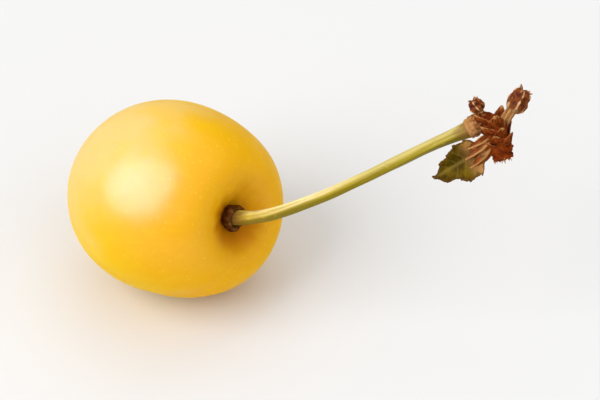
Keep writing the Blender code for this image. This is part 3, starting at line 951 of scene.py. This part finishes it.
def makeBractFinish():
    finish, tree, shader = newFinish("oliveBract", 0.62, Specular_IOR_Level=0.03)
    colours = bractColours
    coords = fruitCoords(tree)
    leaf = attribute(tree, "leaf", "Vector")
    blotches = grain(tree, coords, 0.9, 4.0)
    colour = tint(tree, fade(tree, blotches, 0.35, 0.65), colours["dark"], colours["olive"])
    colour = tint(tree, times(tree, attribute(tree, "vein"), 0.55), colour, colours["vein"])
    fromFoot = addNode(tree, "SeparateXYZ", {"Vector": leaf}).outputs["Y"]   # millimetres
    colour = tint(tree, fade(tree, fromFoot, 1.2, 3.6, 0.95, 0.0), colour, colours["tan"])
    uneven = fade(tree, grain(tree, coords, 1.6, 3.0), 0.3, 0.7, -0.35, 0.25)
    edged = plus(tree, attribute(tree, "edge"), uneven)
    colour = tint(tree, fade(tree, edged, 0.2, 0.7, 0.0, 0.85), colour, colours["edge"])
    net = cells(tree, coords, 2.6, "DISTANCE_TO_EDGE").outputs["Distance"]
    normal = relief(tree, fade(tree, net, 0.0, 0.2), 0.04, 0.5, relief(tree, blotches, 0.05, 0.6))
    dress(tree, shader, colour, fade(tree, blotches, 0.2, 0.8, 0.52, 0.72), normal)
    return finish


# The withered flower buds, shrivelled knobs on short necks

budForms = {
    "largeBudHusk": {
        "node": "withered_bud_large",
        "neck": [Vector((36.4, -5.8, 16.4)), Vector((37.4, -4.9, 17.6)), Vector((38.5, -3.9, 18.8))],
        "neckRadius": 0.60,
        "knob": Vector((2.4, 2.2, 3.2)),
        "seed": 21,
    },
    "smallBudHusk": {
        "node": "withered_bud_small",
        "neck": [Vector((34.9, -4.9, 16.6)), Vector((34.4, -4.4, 17.5)), Vector((33.9, -4.0, 18.15))],
        "neckRadius": 0.43,
        "knob": Vector((1.8, 1.7, 1.7)),
        "seed": 34,
    },
}
budDetail = {
    "lobes": 5, "lobe": 0.10, "twist": 2.5,
    "waist": 0.16, "waistHeight": 0.62, "waistSpread": 0.1,
    "folds": 13, "fold": 0.045, "shrivel": 0.07,
    "mouth": 0.10, "mouthSpread": 0.06,
    "segments": 96, "rings": 72,
    # the sepals' sizes and seats are shares of the knob's, and their leans are in radians
    "sepals": 5, "sepalLengths": (0.14, 0.24), "sepalWidth": 0.18, "sepalThickness": 0.045,
    "sepalBend": 0.12, "sepalLeans": (-0.1, 0.5), "sepalShift": 0.15, "sepalSeat": (0.24, 0.36),
    "neckSides": 28, "neckSpan": 14, "neckRidges": 7, "neckRidge": 0.05,
    "neckFootFlare": 0.16, "neckEndFlare": 0.10,
}


def makeBud(name):
    form, detail = budForms[name], budDetail
    bm = bmesh.new()
    crest = bm.verts.layers.float.new("crest")
    pale = bm.verts.layers.float.new("pale")
    knob, seed = form["knob"], form["seed"]
    place = Matrix.Translation(form["neck"][-1]) @ axisTurn(form["neck"][-1] - form["neck"][0])
    for vert in addBall(bm, detail["segments"], detail["rings"]):
        around, share = atan2(vert.co.y, vert.co.x), (vert.co.z + 1) / 2
        lobes = detail["lobe"] * cos(detail["lobes"] * around + detail["twist"] * share)
        waist = detail["waist"] * hill(share - detail["waistHeight"], detail["waistSpread"])
        wander = around * detail["folds"] + 3 * share + 1.5 * bumpy(vert.co, 0.8, seed)
        folds = detail["fold"] * cos(wander) * sin(pi * share) ** 0.5
        shrivel = bumpy(vert.co, 0.38, seed + 1) + 0.5 * bumpy(vert.co, 0.18, seed + 2)
        shrivel *= detail["shrivel"]
        mouth = detail["mouth"] * hill(1 - share, detail["mouthSpread"])
        wide = 1 + lobes - waist + folds + shrivel
        vert[crest] = min(1.0, max(0.0, 0.5 + (folds + shrivel + 0.6 * lobes - 0.5 * waist) * 5))
        vert[pale] = hill(share, 0.16)
        vert.co = place @ Vector((
            vert.co.x * knob.x / 2 * wide,
            vert.co.y * knob.y / 2 * wide,
            (vert.co.z * (1 + 0.4 * shrivel) - 3 * mouth) * knob.z / 2,
        ))

    # dry sepal points round the mouth
    draw = random.Random(seed)
    for index in range(detail["sepals"]):
        shift = draw.uniform(-detail["sepalShift"], detail["sepalShift"])
        around = 2 * pi * (index + shift) / detail["sepals"]
        tall, wide = knob.z * draw.uniform(*detail["sepalLengths"]), knob.x * detail["sepalWidth"]
        lean = draw.uniform(*detail["sepalLeans"])
        out, up = detail["sepalSeat"]
        seat = Matrix.Rotation(around, 4, "Z") @ Matrix.Translation((knob.x * out, 0, knob.z * up))
        for vert in addBall(bm, 16, 14):
            share = (vert.co.z + 1) / 2
            vert[crest] = 0.3 + 0.6 * share
            vert[pale] = 0.0
            vert.co = place @ seat @ Matrix.Rotation(lean, 4, "Y") @ Vector((
                vert.co.x * detail["sepalThickness"] * knob.x + detail["sepalBend"] * share**2 * knob.x,
                vert.co.y * wide * (1 - 0.85 * share),
                share * tall,
            ))

    neck = smoothRoute([*form["neck"]], detail["neckSpan"])

    def radiusAt(share, around):
        flare = detail["neckFootFlare"] * hill(share, 0.12)
        flare += detail["neckEndFlare"] * hill(1 - share, 0.15)
        place = Vector((cos(around), sin(around), share * 4))
        ridges = detail["neckRidge"] * cos(detail["neckRidges"] * around + 2 * share)
        ridges += 0.06 * bumpy(place, 0.5, seed)
        return form["neckRadius"] * (1 + flare + ridges)

    def paint(vert, share, flat):
        around = atan2(flat.y, flat.x)
        vert[pale] = 0.8
        vert[crest] = 0.6 + 0.35 * cos(detail["neckRidges"] * around + 2 * share)   # dry ridges, paler, partly painted highlight

    addTube(bm, neck, detail["neckSides"], radiusAt, paint)
    return finishPiece(bm, name, huskFinish, [form["node"]])


huskColours = {
    "dark": (0.06, 0.009, 0.002),
    "red": (0.27, 0.07, 0.013),
    # the crests' colour: partly dry skin, partly painted highlight
    "raised": (0.84, 0.52, 0.25),
    "neck": (0.40, 0.19, 0.05),
}


def makeHuskFinish():
    finish, tree, shader = newFinish("witheredHusk", 0.6, Specular_IOR_Level=0.04)
    colours = huskColours
    coords = fruitCoords(tree)
    lumps = grain(tree, coords, 1.8, 4.0)
    colour = tint(tree, fade(tree, lumps, 0.3, 0.7), colours["dark"], colours["red"])
    # paler pinkish on the crests: partly dry skin, partly painted highlight
    raised = fade(tree, attribute(tree, "crest"), 0.5, 1.0)
    raised = times(tree, raised, fade(tree, lumps, 0.3, 0.6, 0.4, 0.95))
    colour = tint(tree, raised, colour, colours["raised"])
    patchy = fade(tree, grain(tree, coords, 2.5, 3.0), 0.3, 0.6, 0.4, 0.95)
    colour = tint(tree, times(tree, attribute(tree, "pale"), patchy), colour, colours["neck"])
    rough = fade(tree, lumps, 0.2, 0.8, 0.45, 0.72)
    dress(tree, shader, colour, rough, relief(tree, grain(tree, coords, 5.5, 5.0), 0.06, 0.8))
    return finish


# The studio: a pale floor under a pale sky, a soft key light from the upper left and two weaker
# ones. The sheen lamp is seen only in highlights, such as the broad one on the skin.

studio = {
    "elevation": 44.0,
    "lens": 400.0,
    "sensor": 36.0,
    "seenWidth": 67.0,                     # millimetres across the picture
    "aim": Vector((13.6, -4.6, 14.6)),     # millimetres, what stands in the picture's middle
    "floor": 3.0,
    "floorColour": (0.81, 0.81, 0.81),
    "horizon": 0.12, "zenith": 0.76,       # how bright the sky is
    "distance": 1.0,                       # metres from the aim to each light
    "sheenColour": (1.0, 0.6, 0.95),
    "lights": {            # where from, width and height in metres, how strong, and what it gives
        "key": (Vector((-0.634, -0.369, 0.668)), (0.8, 0.8), 5.8, "light"),
        "sheen": (Vector((-0.631, -0.330, 0.700)), (1.15, 1.6), 50.0, "highlight"),
        "top": (Vector((0.1, 0.55, 0.83)), (0.9, 0.9), 1.2, "both"),
        "fill": (Vector((0.62, -0.48, 0.62)), (1.4, 1.4), 2.4, "light"),
    },
}


def makeSky():
    world = bpy.data.worlds.new("paleSky")
    scene.world = world
    world.use_nodes = True
    background = world.node_tree.nodes["Background"]
    background.inputs["Color"].default_value = (1.0, 1.0, 1.0, 1.0)
    way = addNode(world.node_tree, "TexCoord").outputs["Generated"]
    height = addNode(world.node_tree, "SeparateXYZ", {"Vector": way}).outputs["Z"]
    sky = fade(world.node_tree, height, 0.0, 0.8, studio["horizon"], studio["zenith"])
    world.node_tree.links.new(sky, background.inputs["Strength"])


def makeFloor():
    bm = bmesh.new()
    bmesh.ops.create_grid(bm, x_segments=1, y_segments=1, size=studio["floor"])
    finish, tree, shader = newFinish("paleFloor", 0.9, Specular_IOR_Level=0.0)
    shader.inputs["Base Color"].default_value = (*studio["floorColour"], 1.0)
    floor = addObject("paleFloor", meshFrom(bm, "paleFloor", finish))


def makeLights():
    for name, (source, size, power, gives) in studio["lights"].items():
        lamp = bpy.data.lights.new(name + "Light", "AREA")
        lamp.shape = "ELLIPSE"
        lamp.size, lamp.size_y = size
        lamp.energy = power
        if gives == "highlight":
            lamp.color = studio["sheenColour"]
        light = addObject(name + "Light", lamp)
        light.visible_glossy = gives != "light"
        light.visible_diffuse = gives != "highlight"
        way = source.normalized()
        light.location = studio["aim"] * mm + way * studio["distance"]
        light.rotation_euler = way.to_track_quat("Z", "Y").to_euler()


def makeCamera():
    camera = addObject("camera", bpy.data.cameras.new("camera"))
    camera.data.lens = studio["lens"]
    camera.data.sensor_width = studio["sensor"]
    camera.data.clip_start = 0.01
    rise = radians(studio["elevation"])
    back = Vector((0, -cos(rise), sin(rise)))
    away = back * studio["seenWidth"] * mm / studio["sensor"] * studio["lens"]
    camera.location = studio["aim"] * mm + away
    camera.rotation_euler = back.to_track_quat("Z", "Y").to_euler()
    scene.camera = camera


scene.view_settings.view_transform = "Standard"
makeSky()
makeFloor()
makeLights()
makeCamera()
print("studio is set")
corkFinish = makeCorkFinish()
barkFinish = makeBarkFinish("spurBark", ribbed=False)
scaleFinish = makeBarkFinish("dryScale", ribbed=True)
huskFinish = makeHuskFinish()
makeSkin()
makeScar()
print("fruit is made")
makeCorkRing()
makeStem()
print("stem is made")
makeSpurWood()
makeBudScales()
makeStipules()
makeBract()
for budName in budForms:
    makeBud(budName)
print("spur is made")
